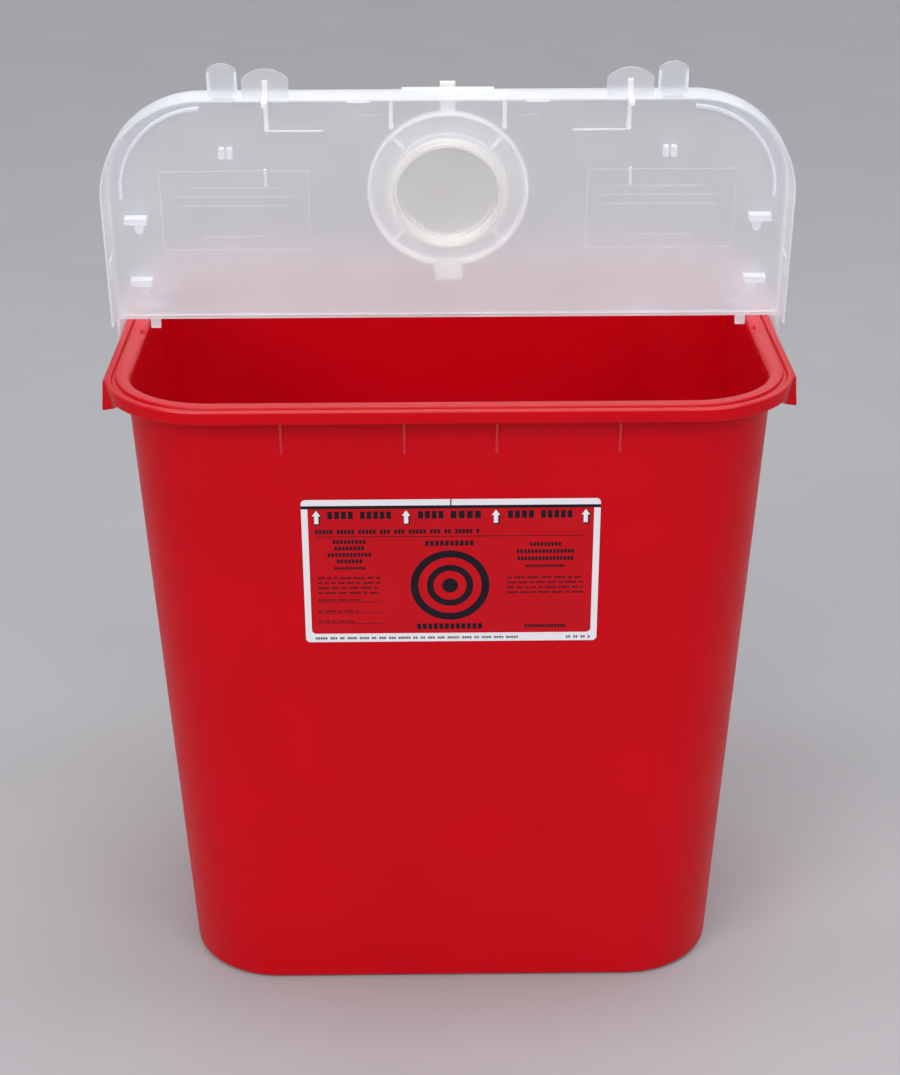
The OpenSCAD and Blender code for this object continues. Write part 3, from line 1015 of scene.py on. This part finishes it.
def build_flap():
    source = bmesh.new()
    add_lid_shell(source, FLAP_REACH, -1, True, to_rest)
    for side in (-1, 1):
        add_corner_rib(source, side)
        add_rest_lug(source, side * 180.5, 61, -1, to_rest)
        add_rest_lug(source, side * 180, 22.5, -1, to_rest)
        add_finger_tab(source, side)
        add_lock_foot(source, side)
        add_skirt_rib(source, side * 32, 117.5)
        add_skirt_rib(source, side * 102.2, 116.5)
        add_panel_bar(source, side * 86, 115.3, 31, 0.8, 1.2)
        add_panel_bar(source, side * 44, 124.2, 14, 0.6, 0.3, 0.1, THIN)
        add_panel_bar(source, side * 104.5, 87.8, 1.6, 10, 2, 0.3)
        add_raised_frame(source, side * 123, 67.2, 86, 48.9)
        for post in (-2.3, 2.3):
            add_panel_bar(source, side * 126.3 + post, 103.2, 3.4, 6.2, 5, 0.8)
        # Pad inside the side skirt, and a bead inside the front one
        pad = rectangle(0, 29.5, 1.0, 41.5)
        pad = [(side * (LID_HALF_W - SKIRT_T + 0.2 - x), s) for x, s in pad]
        add_under(source, pad, SKIRT_DEPTH - PANEL_T - 3, 0.4, -1, to_rest)
        bead = (side * HOOK_X, FOLD.y - FLAP_REACH + SKIRT_T + 0.2, LID_TOP - SKIRT_DEPTH + 0.8)
        add_bar(source, bead, (HOOK_W, 1.2, 1.6), 0.35, DENSE, to_rest)
    thumb_rest = (0, FOLD.y - FLAP_REACH - 0.3, LID_TOP - 3.2)
    add_bar(source, thumb_rest, (52, 1.2, 5.8), 0.35, THICK, to_rest)
    materials = [LID_THIN, LID_THICK, LID_DENSE, LID_CREAM]
    return make_piece("lid_front_half", source, materials, "lid_flap", ["lid_flap"])


# ---------------------------------------------------------------- rear half and hinge


def build_rear():
    source = bmesh.new()
    add_lid_shell(source, REAR_REACH, 1, False)
    inside = REAR_REACH - SKIRT_T
    for side in (-1, 1):
        add_rest_lug(source, side * 180.5, 30, 1)
        add_rest_lug(source, side * 180.5, 68, 1)
        tab = rectangle(side * 175.2 - 3, 5, side * 175.2 + 3, 7.2)
        add_under(source, tab, 8.8 - PANEL_T, 0.5, 1)
        rib = rectangle(side * 60 - 3, inside - 11, side * 60 + 3, inside + 0.3)
        add_under(source, rib, 6.2, 0.4, 1)
        hook = (side * HOOK_X, FOLD.y + inside - 1.2, LID_TOP - SKIRT_DEPTH + 0.65)
        add_bar(source, hook, (HOOK_W, 2.8, 1.3), 0.35, THICK)
    materials = [LID_THIN, LID_THICK]
    return make_piece("lid_rear_half", source, materials, "tub", ["lid_rear"])


def build_hinge():
    """Living hinge: a thin strip that bends from the rear half's edge into the front half's edge."""
    half = LID_HALF_W - 3
    rear_edge = Vector((0, FOLD.y + FOLD_GAP + 0.3, LID_TOP - 0.35))
    front_edge = to_rest @ Vector((0, FOLD.y - FOLD_GAP - 0.3, LID_TOP - 0.35))
    bead = Vector((0, FOLD.y, FOLD.z))
    line = []
    steps = 24
    for k in range(steps + 1):
        t = k / steps
        line.append(rear_edge * (1 - t) ** 2 + bead * (2 * t * (1 - t)) + front_edge * t * t)
    rings = []
    for k, point in enumerate(line):
        along = (line[min(k + 1, steps)] - line[max(k - 1, 0)]).normalized()
        across = Vector((0, -along.z, along.y))
        thick = lerp(0.25, 0.8, ramp(math.sin(math.pi * k / steps), 0.7, 1.0))
        outline = [(-half, 1), (-half, -1), (half, -1), (half, 1)]
        rings.append([point + across * thick * sign + Vector((x, 0, 0)) for x, sign in outline])
    source = bmesh.new()
    on_bead = [k for k in range(steps) if abs(k + 0.5 - steps / 2) < steps / 3]
    add_loft(source, rings, slots=on_bead)
    materials = [LID_THIN, LID_DENSE]
    piece = make_piece("living_hinge", source, materials, stands_for=["lid_hinge"])
    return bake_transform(piece)


# ---------------------------------------------------------------- port cap and its clip


def build_clip():
    source = bmesh.new()
    knuckle_w = (CLIP_W - CLIP_SLOT) / 2
    half = CLIP_W / 2
    plate = rectangle(-half, FOLD.y - CLIP_S + 5 - 13.5, half, FOLD.y - CLIP_S + 5)
    add_prism(source, plate, LID_TOP - 0.05, LID_TOP + 1.3, 0.3, THICK, to_rest)
    outline = [(-2.2, 0), (2.2, 0), (2.2, PIN_H)] + arc((0, PIN_H), 2.2, 0, 180, 16) + [(-2.2, PIN_H)]
    for side in (-1, 1):
        x = side * (CLIP_SLOT + knuckle_w) / 2
        at = Matrix.Translation((x, FOLD.y - CLIP_S, LID_TOP))
        add_prism(source, outline, -knuckle_w / 2, knuckle_w / 2, 0.3, THICK, to_rest @ at @ ACROSS)
    materials = [CAP_THIN, CAP_THICK]
    return make_piece("cap_clip", source, materials, "lid_flap", ["cap_hinge_clip"])


def cap_profile():
    """(radius, height) from the middle of the top, over skirt and plug, to the middle underneath."""
    disc_z = CAP_H - CAP_T
    inner_r = CAP_R - CAP_WALL
    plug_in = PLUG_R - PLUG_T
    plug_low = disc_z - PLUG_H
    return [
        (0.0, CAP_H - 0.5),
        (2.0, CAP_H - 0.5),
        (2.6, CAP_H - 0.35),
        (24.0, CAP_H - 0.35),
        (25.2, CAP_H),
        (CAP_R - 1.1, CAP_H),
        (CAP_R - 0.3, CAP_H - 0.3),
        (CAP_R, CAP_H - 1.1),
        (CAP_R, 0.65),
        (CAP_R - 0.25, 0.38),
        (inner_r + 0.25, 0.38),
        (inner_r, 0.75),
        (inner_r, disc_z - 0.9),
        (inner_r - 0.3, disc_z - 0.25),
        (inner_r - 1.0, disc_z),
        (PLUG_R + 0.7, disc_z),
        (PLUG_R, disc_z - 0.6),
        (PLUG_R - 0.1, plug_low + 0.5),
        (PLUG_R - 0.4, plug_low),
        (plug_in + 0.4, plug_low),
        (plug_in + 0.1, plug_low + 0.5),
        (plug_in, disc_z - 0.5),
        (plug_in - 0.6, disc_z),
        (0.0, disc_z),
    ]


def build_cap():
    source = bmesh.new()
    profile = cap_profile()
    disc_z = CAP_H - CAP_T
    centre = (0.0, FOLD.y - PORT_S)

    def clear_of_clip(point):
        """Raises the skirt's edge where it passes over the clip."""
        x, y, z = point
        at_clip = abs(x) < CLIP_W / 2 + 1.2 and y > centre[1] + 30
        if at_clip and math.hypot(x - centre[0], y - centre[1]) > PLUG_R + 2:
            z = max(z, 1.6)
        return (x, y, z + LID_TOP)

    # The skirt, up to the disc's underside, takes the thick plastic
    walls = [k for k in range(5, len(profile) - 1) if profile[k + 1][0] > COLLAR_R]
    add_lathe(source, profile, 160, centre, clear_of_clip, walls, to_rest)
    # Four small gussets between the plug and the skirt
    for turn in (45, 135, 225, 315):
        turned = Matrix.Rotation(math.radians(turn), 4, "Z")
        at = Matrix.Translation((centre[0], centre[1], LID_TOP)) @ turned
        gusset = rectangle(COLLAR_R + 1.2, -0.7, CAP_R - CAP_WALL + 0.3, 0.7)
        add_prism(source, gusset, disc_z - 3.6, disc_z + 0.2, 0.3, THICK, to_rest @ at)
    # Thumb strap with its lip
    tip_s = FLAP_REACH + 1.6
    strap = rectangle(-4.4, FOLD.y - tip_s, 4.4, FOLD.y - PORT_S - CAP_R + 1)
    add_prism(source, strap, LID_TOP + disc_z - 1, LID_TOP + disc_z + 0.6, 0.35, THICK, to_rest)
    lip = rectangle(-4.4, FOLD.y - tip_s, 4.4, FOLD.y - tip_s + 1.4)
    add_prism(source, lip, LID_TOP + disc_z - 1, LID_TOP + disc_z + 2.2, 0.35, THICK, to_rest)
    # Hinge strap and pin
    strap = rectangle(-3.9, FOLD.y - CLIP_S - 4.4, 3.9, FOLD.y - CLIP_S)
    add_prism(source, strap, LID_TOP + PIN_H - 0.75, LID_TOP + PIN_H + 0.75, 0.25, THICK, to_rest)
    at = Matrix.Translation((0, FOLD.y - CLIP_S, LID_TOP + PIN_H))
    pin = arc((0, 0), PIN_R, 0, 345, 23)
    add_prism(source, pin, -CLIP_W / 2, CLIP_W / 2, 0.15, place=to_rest @ at @ ACROSS)
    materials = [CAP_THIN, CAP_THICK]
    return make_piece("port_cap_shell", source, materials, "port_cap", ["port_cap"])


# ---------------------------------------------------------------- locking tabs


def build_lock_tab(name, body, side):
    """Channel-shaped tab with a bowed nose, on a pin at its root."""
    source = bmesh.new()
    at = Matrix.Translation((side * LOCK_X, FOLD.y - LOCK_PIN_S, LID_TOP + LOCK_PIN_Z))
    place = to_rest @ at
    pin = arc((0, 0), PIN_R - 0.1, 0, 345, 23)
    half = LOCK_FOOT_HALF_W
    add_prism(source, pin, -half, half, 0.15, place=place @ ACROSS)
    nose = [(x, y - 1.3) for x, y in tongue_outline(LOCK_W, LOCK_REACH - 2.4, 0)]
    add_prism(source, nose, -0.65, 0.65, 0.3, place=place)
    add_bar(source, (0, -0.8, 0), (11.2, 1.3, 1.2), 0.15, place=place)
    for fin in (-1, 1):
        x = fin * (LOCK_W / 2 - 0.7)
        outline = rectangle(x - 0.7, -LOCK_REACH + 7.2, x + 0.7, -1.4)
        add_prism(source, outline, -0.2, 3.4, 0.3, THICK, place)
    return make_piece(name, source, [LID_THIN, LID_THICK], body, [body])


# ---------------------------------------------------------------- studio


def build_floor():
    half = 6000.0
    source = bmesh.new()
    corners = [(-half, -half, -0.3), (half, -half, -0.3), (half, half, -0.3), (-half, half, -0.3)]
    source.faces.new([source.verts.new(corner) for corner in corners])
    floor = make_piece("studio_floor", source, [floor_paper()])


def add_area_light(name, place, target, size, power, colour=(1, 1, 1)):
    data = bpy.data.lights.new(name, "AREA")
    data.shape = "RECTANGLE"
    data.size, data.size_y = size
    data.energy = power
    data.color = colour
    light = bpy.data.objects.new(name, data)
    light.location = place
    light.rotation_euler = (Vector(target) - Vector(place)).to_track_quat("-Z", "Y").to_euler()
    bpy.context.scene.collection.objects.link(light)


def add_soft_sun(name, direction, strength):
    """Wide sun lamp, which lights the floor evenly out to the horizon."""
    data = bpy.data.lights.new(name, "SUN")
    data.energy = strength
    data.angle = math.radians(70)
    light = bpy.data.objects.new(name, data)
    light.rotation_euler = Vector(direction).to_track_quat("-Z", "Y").to_euler()
    bpy.context.scene.collection.objects.link(light)


def build_lights():
    add_soft_sun("front sun", (0.25, 1.0, -0.8), 1.0)
    add_soft_sun("rear sun", (-0.2, -0.6, -1.0), 0.7)
    add_area_light("overhead strip", (0, -0.1, 2.1), (0, 0, 0.3), (2.2, 0.35), 11)
    add_area_light("key", (-1.5, -1.9, 1.7), (0, 0, 0.3), (1.2, 1.2), 16, (1, 0.985, 0.97))
    add_area_light("fill", (1.6, -1.8, 1.7), (0, 0, 0.3), (1.2, 1.2), 15, (0.98, 0.99, 1))
    world = bpy.data.worlds.new("studio")
    world.use_nodes = True
    background = world.node_tree.nodes["Background"]
    background.inputs["Color"].default_value = (0.94, 0.95, 1.0, 1)
    background.inputs["Strength"].default_value = 0.33
    bpy.context.scene.world = world
    bpy.context.scene.view_settings.view_transform = "Standard"


def build_camera():
    """Camera at the height and angle that the container is seen from."""
    place = Vector((-0.0093, -1.1705, 0.7925))
    pitch, yaw, roll = (math.radians(angle) for angle in (24.7, 0.48, -0.23))
    forward = Vector(
        (math.sin(yaw) * math.cos(pitch), math.cos(yaw) * math.cos(pitch), -math.sin(pitch))
    )
    level = Vector((math.cos(yaw), -math.sin(yaw), 0))
    upward = level.cross(forward)
    right = math.cos(roll) * level + math.sin(roll) * upward
    up = math.cos(roll) * upward - math.sin(roll) * level
    data = bpy.data.cameras.new("camera")
    data.lens = 68.665
    data.sensor_width = 36
    data.sensor_fit = "AUTO"
    camera = bpy.data.objects.new("camera", data)
    camera.matrix_world = Matrix(
        (
            (right.x, up.x, -forward.x, place.x),
            (right.y, up.y, -forward.y, place.y),
            (right.z, up.z, -forward.z, place.z),
            (0, 0, 0, 1),
        )
    )
    bpy.context.scene.collection.objects.link(camera)
    bpy.context.scene.camera = camera


build_camera()
build_lights()
build_floor()
build_tub()
build_label()
build_rear()
build_hinge()
build_flap()
build_clip()
build_cap()
build_lock_tab("left_lock_tab", "lock_tab_left", -1)
build_lock_tab("right_lock_tab", "lock_tab_right", 1)
